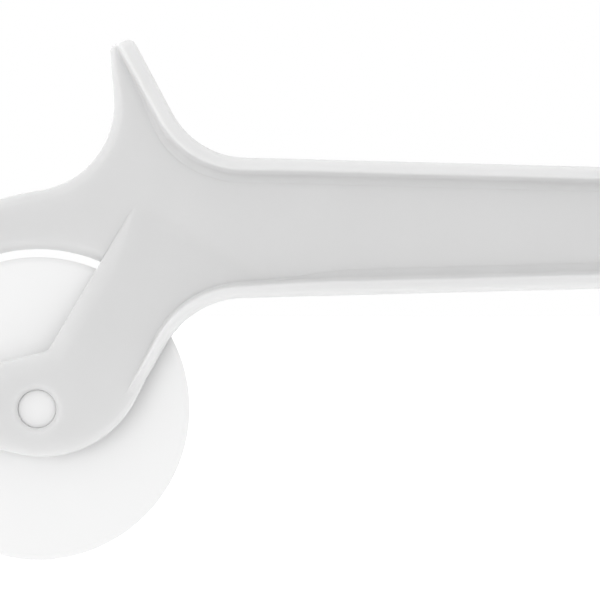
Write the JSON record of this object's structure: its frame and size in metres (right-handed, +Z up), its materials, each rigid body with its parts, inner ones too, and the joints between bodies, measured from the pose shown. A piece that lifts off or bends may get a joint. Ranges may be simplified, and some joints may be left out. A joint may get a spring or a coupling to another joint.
{
  "type": "pizza cutter",
  "caption": "All-plastic pizza cutter: I-section grip with a thumb horn, a guard over the wheel and a fork whose pin lets the cutting wheel spin freely.",
  "frame": {"origin": "middle of the cutter's length and width, at the level of the wheel's lowest point, where it stands on a board in use", "axes": "+X from the wheel towards the end of the grip, +Y along the wheel's axle, +Z up towards the thumb horn"},
  "size_m": [0.1802, 0.016, 0.1134],
  "materials": {
    "handle_plastic": "satin moulded, pale grey-white",
    "wheel_plastic": "satin moulded, white",
    "pin_plastic": "satin moulded, white"
  },
  "bodies": {
    "handle": {"handle_body": "handle_plastic"},
    "wheel": {"cutting_wheel": "wheel_plastic", "axle_pin": "pin_plastic"}
  },
  "joints": [
    {"name": "wheel_spin", "type": "hinge", "parent": "handle", "child": "wheel", "pos_m": [-0.05715, 0, 0.033], "axis": [0, 1, 0], "continuous": true}
  ]
}
